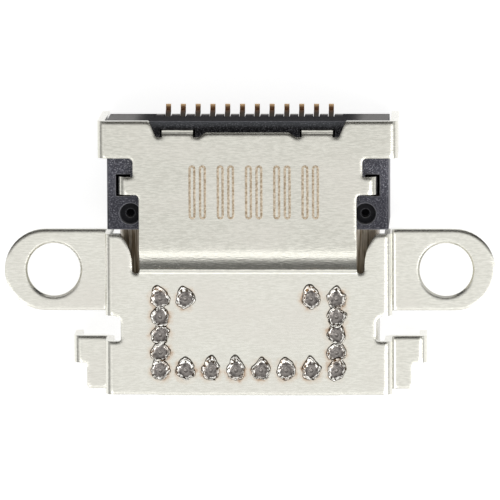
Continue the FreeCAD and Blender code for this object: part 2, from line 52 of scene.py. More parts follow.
# Studio: a pale table under the socket, white surroundings, and three soft lamps, the strongest at the
# front right. Metal sees a small light tent: bright above, dark low in front, greyer at the sides and rear.
def add_math(tree, operation, first, second=None, third=None, clamp=False):
    """Adds one Math node, whose inputs are sockets or numbers, and gives its output."""
    node = tree.nodes.new("ShaderNodeMath")
    node.operation = operation
    node.use_clamp = clamp
    for index, value in enumerate((first, second, third)):
        if isinstance(value, bpy.types.NodeSocket):
            tree.links.new(value, node.inputs[index])
        elif value is not None:
            node.inputs[index].default_value = value
    return node.outputs[0]


def add_ramp(tree, value, low, high):
    """Turns a value into a soft 0 to 1 mask between two levels."""
    node = tree.nodes.new("ShaderNodeMapRange")
    node.interpolation_type = "SMOOTHSTEP"
    node.inputs["From Min"].default_value = low
    node.inputs["From Max"].default_value = high
    tree.links.new(value, node.inputs["Value"])
    return node.outputs["Result"]


mix_colours = (6, 7)
mix_result = 2


def add_mix(tree, factor, first, second):
    """Mixes two colours, each a socket or a tuple."""
    node = tree.nodes.new("ShaderNodeMix")
    node.data_type = "RGBA"
    tree.links.new(factor, node.inputs["Factor"])
    for index, value in zip(mix_colours, (first, second)):
        socket = node.inputs[index]
        if isinstance(value, bpy.types.NodeSocket):
            tree.links.new(value, socket)
        else:
            socket.default_value = (*value, 1)
    return node.outputs[mix_result]


def split_axes(tree, vector):
    """Splits coordinates or a normal into X, Y and Z."""
    node = tree.nodes.new("ShaderNodeSeparateXYZ")
    tree.links.new(vector, node.inputs[0])
    return node.outputs


floor_half = 400 * mm
floor_level = cad_box[0][2]
floor_glow = 0.80
floor_corners = [(-1, -1), (1, -1), (1, 1), (-1, 1)]
floor_mesh = bpy.data.meshes.new("floor")
floor_mesh.from_pydata([(x * floor_half, y * floor_half, floor_level) for x, y in floor_corners], [], [(0, 1, 2, 3)])
floor = bpy.data.objects.new("floor", floor_mesh)
scene.collection.objects.link(floor)

floor_paint = bpy.data.materials.new("floor_paint")
floor_paint.use_nodes = True
tree = floor_paint.node_tree
paint = tree.nodes["Principled BSDF"]
paint.inputs["Base Color"].default_value = (0.42, 0.42, 0.42, 1)
paint.inputs["Roughness"].default_value = 0.9
paint.inputs["Specular IOR Level"].default_value = 0.1
paint.inputs["Emission Color"].default_value = (1, 1, 1, 1)
ray = tree.nodes.new("ShaderNodeLightPath").outputs
seen = add_math(tree, "MAXIMUM", ray["Is Camera Ray"], ray["Is Glossy Ray"])
seen = add_math(tree, "MAXIMUM", seen, ray["Is Transmission Ray"])
tree.links.new(add_math(tree, "MULTIPLY", seen, floor_glow), paint.inputs["Emission Strength"])
floor_mesh.materials.append(floor_paint)

world = bpy.data.worlds.new("light_tent")
scene.world = world
world.use_nodes = True
tree = world.node_tree
tree.nodes.clear()
ray = tree.nodes.new("ShaderNodeLightPath").outputs
heading = split_axes(tree, tree.nodes.new("ShaderNodeTexCoord").outputs["Generated"])


def tent_side(stops):
    """Brightness of one side of the tent, from the horizon up to the zenith."""
    node = tree.nodes.new("ShaderNodeValToRGB")
    low, high = node.color_ramp.elements
    low.position, high.position = stops[0][0], stops[-1][0]
    low.color = (*[stops[0][1]] * 3, 1)
    high.color = (*[stops[-1][1]] * 3, 1)
    for position, level in stops[1:-1]:
        node.color_ramp.elements.new(position).color = (level, level, level, 1)
    tree.links.new(heading["Z"], node.inputs[0])
    return node.outputs["Color"]


def add_glow(strength):
    """Adds a white background light of one strength."""
    node = tree.nodes.new("ShaderNodeBackground")
    node.inputs["Color"].default_value = (1, 1, 1, 1)
    node.inputs["Strength"].default_value = strength
    return node


def choose_light(factor, first, second):
    """Mixes two background lights."""
    node = tree.nodes.new("ShaderNodeMixShader")
    for socket, value in zip(node.inputs, (factor, first, second)):
        tree.links.new(value, socket)
    return node.outputs[0]


zenith = (1.0, 0.62)
tent_front = tent_side([
    (0.0, 0.10), (0.31, 0.105), (0.37, 0.25), (0.52, 0.28),
    (0.64, 0.98), (0.78, 1.0), (0.86, 0.70), (0.93, 0.62), zenith,
])
tent_rear = tent_side([(0.0, 0.34), (0.50, 0.28), (0.66, 0.22), (0.84, 0.55), zenith])
tent_left = tent_side([(0.0, 0.36), (0.46, 0.36), (0.60, 0.66), (0.80, 0.74), (0.92, 0.62), zenith])
tent_right = tent_side([(0.0, 0.36), (0.42, 0.38), (0.56, 0.60), (0.68, 0.60), (0.80, 0.54), (0.92, 0.61), zenith])
front_or_rear = add_mix(tree, add_ramp(tree, heading["Y"], -0.05, 0.25), tent_front, tent_rear)
left_or_right = add_mix(tree, add_ramp(tree, heading["X"], -0.1, 0.1), tent_left, tent_right)
sideways = add_ramp(tree, add_math(tree, "ABSOLUTE", heading["X"]), 0.22, 0.55)
tent_tone = add_mix(tree, sideways, front_or_rear, left_or_right)
tent_strength = 1.60
tent_gain_right = 0.30
tent_light = add_glow(tent_strength)
brightness = add_math(tree, "MULTIPLY_ADD", heading["X"], tent_gain_right, tent_strength)
tree.links.new(brightness, tent_light.inputs["Strength"])
tree.links.new(tent_tone, tent_light.inputs["Color"])
reflected = choose_light(ray["Is Glossy Ray"], add_glow(0.62).outputs[0], tent_light.outputs[0])
seen = add_math(tree, "MAXIMUM", ray["Is Camera Ray"], ray["Is Transmission Ray"])
surroundings = tree.nodes.new("ShaderNodeOutputWorld")
tree.links.new(choose_light(seen, reflected, add_glow(1.0).outputs[0]), surroundings.inputs["Surface"])

middle_of_part = Vector((0, 4.705 * mm, 0))
# Each lamp: name, direction from the part, distance, square size, radiance
lamps = [
    ("lamp_front_right", (0.75, -0.55, 0.80), 150 * mm, 110 * mm, 2.0),
    ("lamp_front_left", (-0.60, -0.60, 0.75), 150 * mm, 70 * mm, 1.1),
    ("lamp_rear", (0.15, 0.80, 0.70), 160 * mm, 60 * mm, 1.0),
]
for name, direction, distance, size, radiance in lamps:
    light = bpy.data.lights.new(name, "AREA")
    light.shape = "SQUARE"
    light.size = size
    light.energy = radiance * math.pi * size * size
    lamp = bpy.data.objects.new(name, light)
    toward = Vector(direction).normalized()
    lamp.location = middle_of_part + toward * distance
    lamp.rotation_euler = toward.to_track_quat("Z", "Y").to_euler()
    scene.collection.objects.link(lamp)

# The camera looks almost straight down, leaning a little to the rear and to the right
camera_distance = 234.6 * mm
camera_lean_right = math.radians(2.1)
camera_lean_rear = math.radians(7.0)
camera_roll = math.radians(-0.22)
lens = bpy.data.cameras.new("camera")
lens.lens = 500
lens.sensor_width = 36
lens.clip_start = 10 * mm
lens.clip_end = 2000 * mm
camera = bpy.data.objects.new("camera", lens)
away = Vector((math.sin(camera_lean_right), math.sin(camera_lean_rear), 1))
away.z = math.sqrt(1 - away.x ** 2 - away.y ** 2)
camera.location = middle_of_part + away * camera_distance
camera.rotation_mode = "QUATERNION"
to_right = Vector((0, 1, 0)).cross(away).normalized()
upright = Matrix((to_right, away.cross(to_right), away)).transposed().to_quaternion()
camera.rotation_quaternion = upright @ Quaternion((0, 0, 1), camera_roll)
scene.collection.objects.link(camera)
scene.camera = camera


# Cover plate: one sheet of stainless steel, stamped and folded, then plated with satin nickel.
# The grain is the rolling direction, across the socket. Its cut edges are rounded by the die.
def add_noise(tree, vector, scale, detail=2.0, roughness=0.5):
    """Adds one noise texture and gives its value."""
    node = tree.nodes.new("ShaderNodeTexNoise")
    node.inputs["Scale"].default_value = scale
    node.inputs["Detail"].default_value = detail
    node.inputs["Roughness"].default_value = roughness
    tree.links.new(vector, node.inputs["Vector"])
    return node.outputs["Fac"]


def add_scaled(tree, vector, scale):
    """Stretches coordinates by three factors."""
    return add_vector_math(tree, "MULTIPLY", vector, scale).outputs[0]


def add_sized(tree, vector, factor):
    """Scales coordinates or a normal by one factor, given as a socket."""
    node = tree.nodes.new("ShaderNodeVectorMath")
    node.operation = "SCALE"
    tree.links.new(vector, node.inputs[0])
    tree.links.new(factor, node.inputs["Scale"])
    return node.outputs[0]


def new_group(name, inputs, outputs):
    """Starts a shader node group with float or vector inputs and float outputs."""
    tree = bpy.data.node_groups.new(name, "ShaderNodeTree")
    for label, kind, value in inputs:
        socket = tree.interface.new_socket(name=label, in_out="INPUT", socket_type=kind)
        if value is not None:
            socket.default_value = value
    for label, kind in outputs:
        tree.interface.new_socket(name=label, in_out="OUTPUT", socket_type=kind)
    entry = tree.nodes.new("NodeGroupInput")
    out = tree.nodes.new("NodeGroupOutput")
    return tree, entry.outputs, out.inputs


def place_group(tree, group, vector, **values):
    """Places a node group in a material, fed by object coordinates, with its own values."""
    node = tree.nodes.new("ShaderNodeGroup")
    node.node_tree = group
    tree.links.new(vector, node.inputs["Vector"])
    for label, value in values.items():
        node.inputs[label].default_value = value
    return node.outputs


def new_material(name, roughness, metallic=0.0):
    """Starts a material and gives it, its tree, its Principled node and object coordinates."""
    material = bpy.data.materials.new(name)
    material.use_nodes = True
    tree = material.node_tree
    shader = tree.nodes["Principled BSDF"]
    shader.inputs["Roughness"].default_value = roughness
    shader.inputs["Metallic"].default_value = metallic
    vector = tree.nodes.new("ShaderNodeTexCoord").outputs["Object"]
    return material, tree, shader, vector


def add_vector_math(tree, operation, first, second=None):
    """Adds one Vector Math node, whose inputs are sockets or tuples, and gives the node."""
    node = tree.nodes.new("ShaderNodeVectorMath")
    node.operation = operation
    for index, value in enumerate((first, second)):
        if isinstance(value, bpy.types.NodeSocket):
            tree.links.new(value, node.inputs[index])
        elif value is not None:
            node.inputs[index].default_value = value
    return node


def add_rounding(tree, edge_radius):
    """Gives a normal that is rounded near sharp edges."""
    node = tree.nodes.new("ShaderNodeBevel")
    node.samples = 12
    if isinstance(edge_radius, bpy.types.NodeSocket):
        tree.links.new(edge_radius, node.inputs["Radius"])
    else:
        node.inputs["Radius"].default_value = edge_radius
    return node.outputs[0]


def add_relief(tree, shader, height, distance, rounded):
    """Adds a fine relief on a rounded normal, through the shader's normal."""
    node = tree.nodes.new("ShaderNodeBump")
    node.inputs["Distance"].default_value = distance
    tree.links.new(height, node.inputs["Height"])
    tree.links.new(rounded, node.inputs["Normal"])
    tree.links.new(node.outputs[0], shader.inputs["Normal"])


def dress(node_name, material):
    """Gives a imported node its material."""
    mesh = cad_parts[node_name].data
    mesh.materials.clear()
    mesh.materials.append(material)


grain, given, made = new_group(
    "rolled_grain",
    [("Vector", "NodeSocketVector", None), ("Fineness", "NodeSocketFloat", 1.0)],
    [("Streaks", "NodeSocketFloat"), ("Clouds", "NodeSocketFloat"), ("Height", "NodeSocketFloat")],
)
sized = add_sized(grain, given["Vector"], given["Fineness"])
long_streaks = add_noise(grain, add_scaled(grain, sized, (3800, 21000, 15000)), 1.0, 1.5, 0.5)
short_streaks = add_noise(grain, add_scaled(grain, sized, (9000, 28000, 23000)), 1.0, 1.5, 0.5)
mingled = add_math(grain, "MULTIPLY_ADD", long_streaks, 0.6, add_math(grain, "MULTIPLY", short_streaks, 0.4))
streaks = add_ramp(grain, mingled, 0.34, 0.66)
clouds = add_noise(grain, add_scaled(grain, given["Vector"], (420, 560, 560)), 1.0, 2.0, 0.5)
grain.links.new(streaks, made["Streaks"])
grain.links.new(clouds, made["Clouds"])
grain.links.new(mingled, made["Height"])

weld_offset = 2.96
weld_row_y = 0.84
weld_row_step = 2 * weld_offset / 7
weld_column_step = 0.605
weld_column_end = weld_row_y + 4 * weld_column_step
heat, given, made = new_group(
    "weld_heat",
    [("Vector", "NodeSocketVector", None), ("Reach", "NodeSocketFloat", 0.48)],
    [("Tint", "NodeSocketFloat"), ("Scorch", "NodeSocketFloat")],
)
axes = split_axes(heat, add_scaled(heat, given["Vector"], (1 / mm, 1 / mm, 1 / mm)))
side = add_math(heat, "ABSOLUTE", axes["X"])
along = axes["Y"]


def lattice_offset(tree, value, start, step):
    """Distance from a value to the nearest of a row of evenly spaced places."""
    turns = add_math(tree, "DIVIDE", add_math(tree, "SUBTRACT", value, start), step)
    part = add_math(tree, "SUBTRACT", turns, add_math(tree, "ROUND", turns))
    return add_math(tree, "MULTIPLY", part, step)


def distance_from(tree, across, along_it):
    """Length of a flat offset."""
    squares = add_math(tree, "MULTIPLY_ADD", across, across, add_math(tree, "MULTIPLY", along_it, along_it))
    return add_math(tree, "SQRT", squares)


row_x = lattice_offset(heat, add_math(heat, "MINIMUM", side, weld_offset), weld_row_step / 2, weld_row_step)
past_row = add_math(heat, "MAXIMUM", add_math(heat, "SUBTRACT", side, weld_offset), 0.0)
row_x = add_math(heat, "ADD", add_math(heat, "ABSOLUTE", row_x), past_row)
row_distance = distance_from(heat, row_x, add_math(heat, "SUBTRACT", along, weld_row_y))
column_y = add_math(heat, "MINIMUM", add_math(heat, "MAXIMUM", along, weld_row_y), weld_column_end)
past_column = add_math(heat, "SUBTRACT", along, column_y)
column_y = lattice_offset(heat, column_y, weld_row_y, weld_column_step)
column_y = add_math(heat, "ADD", add_math(heat, "ABSOLUTE", column_y), add_math(heat, "ABSOLUTE", past_column))
column_distance = distance_from(heat, add_math(heat, "SUBTRACT", side, weld_offset), column_y)
inner_x = add_math(heat, "SUBTRACT", side, weld_offset - weld_row_step)
inner_distance = distance_from(heat, inner_x, add_math(heat, "SUBTRACT", along, weld_column_end))
nearest = add_math(heat, "MINIMUM", add_math(heat, "MINIMUM", row_distance, column_distance), inner_distance)
ragged = add_noise(heat, given["Vector"], 5200, 3.0, 0.6)
patchy = add_noise(heat, given["Vector"], 1900, 2.0, 0.5)
frayed = add_math(heat, "MULTIPLY_ADD", add_math(heat, "SUBTRACT", ragged, 0.5), 0.30, nearest)
inner_reach = add_math(heat, "MULTIPLY", given["Reach"], 0.62)
halo_width = add_math(heat, "SUBTRACT", given["Reach"], inner_reach)
outside = add_math(heat, "DIVIDE", add_math(heat, "SUBTRACT", frayed, inner_reach), halo_width)
halo = add_math(heat, "SUBTRACT", 1.0, outside, clamp=True)
tint = add_math(heat, "MULTIPLY", halo, add_ramp(heat, patchy, 0.30, 0.62))
heat.links.new(tint, made["Tint"])
scorch = add_math(heat, "MULTIPLY", add_ramp(heat, halo, 0.45, 1.0), add_ramp(heat, patchy, 0.48, 0.66))
heat.links.new(scorch, made["Scorch"])

cover_nickel, tree, shader, vector = new_material("cover_nickel", 0.30, 1.0)
worked = place_group(tree, grain, vector, Fineness=1.0)
heated = place_group(tree, heat, vector, Reach=0.50)
low_tone = add_mix(tree, worked["Streaks"], (0.72, 0.71, 0.64), (0.81, 0.80, 0.73))
raised_plate_shade_tone = add_mix(tree, worked["Streaks"], (0.61, 0.60, 0.535), (0.73, 0.72, 0.65))
axes = split_axes(tree, vector)
# Where the plate is raised, at the rear, its tone is darker: painted shade
raised = add_ramp(tree, axes["Z"], 1.80 * mm, 2.08 * mm)
tone = add_mix(tree, raised, low_tone, raised_plate_shade_tone)
warmth = add_math(tree, "MULTIPLY", add_ramp(tree, worked["Clouds"], 0.40, 0.75), 0.5)
warm = add_mix(tree, warmth, tone, (0.74, 0.71, 0.65))
tinted = add_mix(tree, add_math(tree, "MULTIPLY", heated["Tint"], 0.50), warm, (0.66, 0.48, 0.33))
scorched = add_mix(tree, add_math(tree, "MULTIPLY", heated["Scorch"], 0.55), tinted, (0.36, 0.20, 0.10))
polish = add_math(tree, "MULTIPLY_ADD", worked["Streaks"], 0.07, 0.14)
tree.links.new(polish, shader.inputs["Roughness"])
# The die left a low ridge in front of the step; near the step the folds are too crisp for round edges
ridge_y = 4.165 * mm
ridge_width = 0.045 * mm
ridge_rise = 3.0
step_middle_y = 4.65 * mm
plain_radius = 0.30 * mm
crisp_radius = 0.03 * mm
off_ridge = add_math(tree, "DIVIDE", add_math(tree, "SUBTRACT", axes["Y"], ridge_y), ridge_width)
ridge = add_math(tree, "EXPONENT", add_math(tree, "MULTIPLY", add_math(tree, "MULTIPLY", off_ridge, off_ridge), -1.0))
inside = add_ramp(tree, add_math(tree, "ABSOLUTE", axes["X"]), 3.70 * mm, 3.62 * mm)
ridge = add_math(tree, "MULTIPLY", ridge, inside)
height = add_math(tree, "MULTIPLY_ADD", ridge, ridge_rise, worked["Height"])
off_step = add_math(tree, "ABSOLUTE", add_math(tree, "SUBTRACT", axes["Y"], step_middle_y))
crisp = add_math(tree, "MULTIPLY", add_ramp(tree, off_step, 0.75 * mm, 0.60 * mm), inside)
edge_radius = add_math(tree, "MULTIPLY_ADD", crisp, crisp_radius - plain_radius, plain_radius)
rounded = add_rounding(tree, edge_radius)
flat = tree.nodes.new("ShaderNodeNewGeometry").outputs["Normal"]
on_top = add_ramp(tree, split_axes(tree, flat)["Z"], 0.80, 0.95)
# Edges that face the rear get a thin dark line of painted shade, a dark reflection painted into the colour
tilt = split_axes(tree, rounded)["Y"]
rear_edge_shade = add_math(tree, "MULTIPLY", add_ramp(tree, tilt, 0.20, 0.27), add_ramp(tree, tilt, 0.80, 0.66))
rear_edge_shade = add_math(tree, "MULTIPLY", rear_edge_shade, on_top)
lined = add_mix(tree, add_math(tree, "MULTIPLY", rear_edge_shade, 0.95), scorched, (0.020, 0.017, 0.012))
tree.links.new(lined, shader.inputs["Base Color"])
# The rounding turns less across each edge than the bevel gives, and only on faces that look up
turned = add_vector_math(tree, "SUBTRACT", rounded, flat).outputs[0]
parts = split_axes(tree, turned)
to_front = add_math(tree, "MULTIPLY", add_math(tree, "MINIMUM", parts["Y"], 0.0), 0.42)
to_rear = add_math(tree, "MULTIPLY", add_math(tree, "MAXIMUM", parts["Y"], 0.0), 0.3)
joined = tree.nodes.new("ShaderNodeCombineXYZ")
tree.links.new(add_math(tree, "MULTIPLY", parts["X"], 0.4), joined.inputs["X"])
tree.links.new(add_math(tree, "ADD", to_front, to_rear), joined.inputs["Y"])
tree.links.new(parts["Z"], joined.inputs["Z"])
rolled_over = add_vector_math(tree, "ADD", flat, add_sized(tree, joined.outputs[0], on_top)).outputs[0]
rolled_over = add_vector_math(tree, "NORMALIZE", rolled_over).outputs[0]
add_relief(tree, shader, height, 0.006 * mm, rolled_over)
dress("outer_shield", cover_nickel)


# Weld spots: eighteen laser puddles that fix the cover plate to the tube. Each froze as a dark dish
# with a ringed pit, inside a torn bright rim that is drawn out towards the rear.
plate_top = 1.75
spot_places = [(-weld_offset + index * weld_row_step, weld_row_y) for index in range(8)]
for index in range(1, 5):
    spot_y = weld_row_y + index * weld_column_step
    spot_places += [(-weld_offset, spot_y), (weld_offset, spot_y)]
spot_places += [(-weld_offset + weld_row_step, weld_column_end), (weld_offset - weld_row_step, weld_column_end)]
spot_rays = 64
spot_rings = 26
spot_reach = 0.335
spot_ragged = 0.036
least_reach = 0.30
tail_spread = 0.50
tail_in_rim = 0.55
over_solid = 0.006
sunk_edge = -0.004
own_dish, own_dish_radius = -0.06, 0.14
own_wall_start, own_wall_width, own_wall_rise, own_wall_radius = 0.135, 0.088, 0.09, 0.235
own_rim, own_rim_width, own_edge_radius = 0.03, 0.055, 0.29


def solid_level(radius):
    """Highest level of the solid's own spot at a radius, above the plate, in millimetres."""
    if radius < own_dish_radius:
        return own_dish
    if radius < own_wall_radius:
        return own_dish + own_wall_rise * min(1, (radius - own_wall_start) / own_wall_width)
    return max(0.0, own_rim * (own_edge_radius - radius) / own_rim_width)


def spot_level(share, turn, seed, rim):
    """Level of a puddle above the plate, at a share of the way out to its edge."""
    crumple = noise.noise(Vector((math.cos(turn) * 2.6 + seed, math.sin(turn) * 2.6, share * 3.5)))
    fine = noise.noise(Vector((math.cos(turn) * 8.0, math.sin(turn) * 8.0 + seed, share * 11.0)))
    dish = 0.044 * min(1.0, share / 0.80) ** 2
    ring = 0.007 * math.exp(-((share - 0.24) / 0.05) ** 2)
    pit = -0.014 * math.exp(-(share / 0.10) ** 2)
    wall = math.exp(-((share - 0.87) / 0.075) ** 2)
    level = dish + ring + pit + 0.006 * fine + wall * (rim * (1 + 1.4 * crumple) + 0.05 * fine)
    return level * min(1.0, (1 - share) / 0.06)


mesh = bpy.data.meshes.new("weld_spots")
shape = bmesh.new()
dish_shares = []
edge_shares = []
draw = random.Random(41)
for spot_x, spot_y in spot_places:
    seed = draw.uniform(0, 40)
    rim = draw.uniform(0.030, 0.055)
    in_column = abs(spot_x) > weld_offset - 0.1 and weld_row_y < spot_y < weld_column_end
    tail = draw.uniform(0.02, 0.05) if in_column else draw.uniform(0.12, 0.20)
    tail_turn = math.pi / 2 + draw.uniform(-0.30, 0.30)
    lean = [draw.uniform(-0.024, 0.024) for _ in range(4)]
    centre = shape.verts.new((spot_x * mm, spot_y * mm, (plate_top + spot_level(0, 0, seed, rim)) * mm))
    dish_shares.append(0.0)
    edge_shares.append(0.0)
    loops = []
    for ring_index in range(1, spot_rings + 1):
        share = ring_index / spot_rings
        loop = []
        for ray_index in range(spot_rays):
            turn = 2 * math.pi * ray_index / spot_rays
            off_tail = math.atan2(math.sin(turn - tail_turn), math.cos(turn - tail_turn))
            reach = spot_reach + tail * math.exp(-(off_tail / tail_spread) ** 2)
            reach += lean[0] * math.cos(2 * turn) + lean[1] * math.sin(2 * turn)
            reach += lean[2] * math.cos(3 * turn) + lean[3] * math.sin(5 * turn)
            reach += spot_ragged * noise.noise(Vector((math.cos(turn) * 3.0 + seed, math.sin(turn) * 3.0, 9.0)))
            radius = share * max(least_reach, reach)
            level = max(spot_level(share, turn, seed, rim), solid_level(radius) + over_solid)
            if ring_index == spot_rings:
                level = sunk_edge
            x = spot_x + radius * math.cos(turn)
            y = spot_y + radius * math.sin(turn)
            loop.append(shape.verts.new((x * mm, y * mm, (plate_top + level) * mm)))
            drawn_out = tail_in_rim * tail * math.exp(-(off_tail / tail_spread) ** 2)
            dish_shares.append(share * reach / (reach - drawn_out))
            edge_shares.append(share)
        loops.append(loop)
    for ray_index in range(spot_rays):
        following = (ray_index + 1) % spot_rays
        shape.faces.new((centre, loops[0][ray_index], loops[0][following]))
        for inner, outer in zip(loops, loops[1:]):
            shape.faces.new((inner[ray_index], outer[ray_index], outer[following], inner[following]))
shape.to_mesh(mesh)
shape.free()
mesh.polygons.foreach_set("use_smooth", [True] * len(mesh.polygons))
mesh.attributes.new("dish_share", "FLOAT", "POINT").data.foreach_set("value", dish_shares)
mesh.attributes.new("edge_share", "FLOAT", "POINT").data.foreach_set("value", edge_shares)
weld_spots = bpy.data.objects.new("weld_spots", mesh)
scene.collection.objects.link(weld_spots)

weld_metal, tree, shader, vector = new_material("weld_metal", 0.24, 1.0)
stored = []
for attribute in ("dish_share", "edge_share"):
    node = tree.nodes.new("ShaderNodeAttribute")
    node.attribute_name = attribute
    stored.append(node.outputs["Fac"])
share, edge = stored
melt = add_noise(tree, vector, 9000, 3.0, 0.6)
torn = add_noise(tree, vector, 10500, 3.0, 0.6)
jagged = add_noise(tree, vector, 6500, 2.0, 0.6)
heated = place_group(tree, heat, vector, Reach=0.62)
pool = add_mix(tree, add_ramp(tree, melt, 0.35, 0.65), (0.075, 0.066, 0.062), (0.24, 0.22, 0.205))
paler = add_math(tree, "MULTIPLY", add_ramp(tree, share, 0.60, 0.20), 0.55)
pool = add_mix(tree, paler, pool, (0.33, 0.31, 0.29))
pit_ring = add_math(tree, "COMPARE", share, 0.16, 0.06)
pool = add_mix(tree, add_math(tree, "MULTIPLY", pit_ring, 0.75), pool, (0.07, 0.06, 0.055))
# The rim's colour is patched near white and near black by noise: painted glints and painted dark reflections
rim_glint_and_shade = add_mix(tree, add_ramp(tree, torn, 0.43, 0.50), (0.045, 0.032, 0.020), (1.0, 0.98, 0.92))
frayed_share = add_math(tree, "MULTIPLY_ADD", add_math(tree, "SUBTRACT", jagged, 0.5), 0.50, share)
rimmed = add_mix(tree, add_ramp(tree, frayed_share, 0.66, 0.72), pool, rim_glint_and_shade)
outer_scorch = add_math(tree, "MULTIPLY", heated["Scorch"], add_ramp(tree, share, 0.6, 0.85))
browned = add_mix(tree, add_math(tree, "MULTIPLY", outer_scorch, 0.35), rimmed, (0.38, 0.22, 0.11))
# A dark brown line at the puddle's edge: partly brown heat tint, partly painted contact shadow
frayed_edge = add_math(tree, "MULTIPLY_ADD", add_math(tree, "SUBTRACT", torn, 0.5), 0.30, edge)
outline_shadow_and_tint = add_math(tree, "MULTIPLY", add_ramp(tree, frayed_edge, 0.87, 0.94), 0.9)
outlined = add_mix(tree, outline_shadow_and_tint, browned, (0.035, 0.024, 0.015))
tree.links.new(outlined, shader.inputs["Base Color"])
tree.links.new(add_math(tree, "MULTIPLY_ADD", melt, 0.16, 0.10), shader.inputs["Roughness"])
add_relief(tree, shader, torn, 0.006 * mm, add_rounding(tree, 0.01 * mm))
mesh.materials.append(weld_metal)
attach(weld_spots, "root")


# Plain marks: five pairs of upright double lines, burnt into the nickel of the rear plate by laser.
# Each line is a thin skin of browned plating, a few thousandths of a millimetre proud.
rear_plate_top = 2.15
mark_left, mark_right = -1.98, 2.40
mark_front, mark_rear = 5.99, 7.83
mark_pairs = 5
mark_bar = 0.25
mark_gap = 0.35
mark_line = 0.092
mark_bevel = 0.012
mark_skin = 0.004
mark_round = 6
mesh = bpy.data.meshes.new("laser_marks")
shape = bmesh.new()


def bar_outline(x, shrink, level):
    """Corners of an upright bar with rounded ends."""
    half = mark_bar / 2 - shrink
    corners = []
    for middle_y, first in ((mark_rear - mark_bar / 2, 0), (mark_front + mark_bar / 2, math.pi)):
        for index in range(mark_round + 1):
            turn = first + math.pi * index / mark_round
            corners.append(((x + half * math.cos(turn)) * mm, (middle_y + half * math.sin(turn)) * mm, level * mm))
    return [shape.verts.new(corner) for corner in corners]


pair_step = (mark_right - mark_left - mark_gap - mark_bar) / (mark_pairs - 1)
for pair in range(mark_pairs):
    for bar_x in (0, mark_gap):
        x = mark_left + mark_bar / 2 + pair * pair_step + bar_x
        steps = [
            bar_outline(x, 0, rear_plate_top - mark_skin),
            bar_outline(x, mark_bevel, rear_plate_top + mark_skin),
            bar_outline(x, mark_line - mark_bevel, rear_plate_top + mark_skin),
            bar_outline(x, mark_line, rear_plate_top - mark_skin),
        ]
        for outer, inner in zip(steps, steps[1:]):
            for index in range(len(outer)):
                following = (index + 1) % len(outer)
                shape.faces.new((outer[index], outer[following], inner[following], inner[index]))
shape.to_mesh(mesh)
shape.free()
laser_marks = bpy.data.objects.new("laser_marks", mesh)
scene.collection.objects.link(laser_marks)
burnt_nickel, tree, shader, vector = new_material("burnt_nickel", 0.42, 0.9)
burn = add_noise(tree, vector, 14000, 3.0, 0.6)
brown = add_mix(tree, add_ramp(tree, burn, 0.36, 0.64), (0.31, 0.235, 0.155), (0.62, 0.53, 0.41))
tree.links.new(brown, shader.inputs["Base Color"])
add_relief(tree, shader, burn, 0.003 * mm, add_rounding(tree, 0.01 * mm))
mesh.materials.append(burnt_nickel)
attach(laser_marks, "root")


# Tube: a drawn stainless shell that takes the plug, under the cover plate, in plain satin nickel.
# It is held by the weld spots above and moulded into the body at its rear end, where its upper half
# is browned by heat.
tube_nickel, tree, shader, vector = new_material("tube_nickel", 0.30, 1.0)
worked = place_group(tree, grain, vector, Fineness=0.8)
tone = add_mix(tree, worked["Streaks"], (0.58, 0.57, 0.53), (0.78, 0.77, 0.72))
drawn = add_noise(tree, add_scaled(tree, vector, (14000, 900, 14000)), 1.0, 2.0, 0.5)
heat_brown = add_mix(tree, add_ramp(tree, drawn, 0.38, 0.62), (0.32, 0.245, 0.165), (0.86, 0.77, 0.65))
axes = split_axes(tree, vector)
upper_half = add_ramp(tree, axes["Z"], -0.5 * mm, 0.1 * mm)
near_body = add_math(tree, "MULTIPLY", upper_half, add_ramp(tree, axes["Y"], 3.3 * mm, 4.1 * mm))
tree.links.new(add_math(tree, "MULTIPLY_ADD", near_body, -0.72, 1.0), shader.inputs["Metallic"])
tree.links.new(add_mix(tree, near_body, tone, heat_brown), shader.inputs["Base Color"])
tree.links.new(add_math(tree, "MULTIPLY_ADD", worked["Clouds"], 0.18, 0.20), shader.inputs["Roughness"])
add_relief(tree, shader, worked["Height"], 0.004 * mm, add_rounding(tree, 0.04 * mm))
dress("inner_shell", tube_nickel)


# Body: black glass-filled liquid crystal polymer, moulded round the tube's end and the carriers.
# Its skin has a fine spark-eroded texture, with pale specks where fibres reach the surface.
fibre, given, made = new_group(
    "moulded_skin",
    [("Vector", "NodeSocketVector", None), ("Fineness", "NodeSocketFloat", 1.0)],
    [("Specks", "NodeSocketFloat"), ("Clouds", "NodeSocketFloat"), ("Height", "NodeSocketFloat")],
)
sized = add_sized(fibre, given["Vector"], given["Fineness"])
pitted = add_noise(fibre, sized, 15000, 3.0, 0.65)
flow = add_noise(fibre, add_scaled(fibre, sized, (1200, 3200, 3200)), 1.0, 2.0, 0.5)
specks = add_noise(fibre, sized, 32000, 1.0, 0.5)
fibre.links.new(add_ramp(fibre, specks, 0.55, 0.70), made["Specks"])
fibre.links.new(flow, made["Clouds"])
fibre.links.new(pitted, made["Height"])

body_polymer, tree, shader, vector = new_material("body_polymer", 0.45)
shader.inputs["Specular IOR Level"].default_value = 0.22
skin = place_group(tree, fibre, vector, Fineness=1.0)
axes = split_axes(tree, vector)
flat = tree.nodes.new("ShaderNodeNewGeometry").outputs["Normal"]
facing = split_axes(tree, flat)
dark = add_mix(tree, skin["Clouds"], (0.040, 0.040, 0.053), (0.062, 0.062, 0.079))
speckled = add_mix(tree, add_math(tree, "MULTIPLY", skin["Specks"], 0.9), dark, (0.50, 0.50, 0.56))
# Faces that look up below the top, in recesses and pockets, are painted near black: painted shade
facing_up = add_ramp(tree, facing["Z"], 0.3, 0.7)
sunk_painted_shade = add_math(tree, "MULTIPLY", add_ramp(tree, axes["Z"], 1.86 * mm, 1.72 * mm), facing_up)
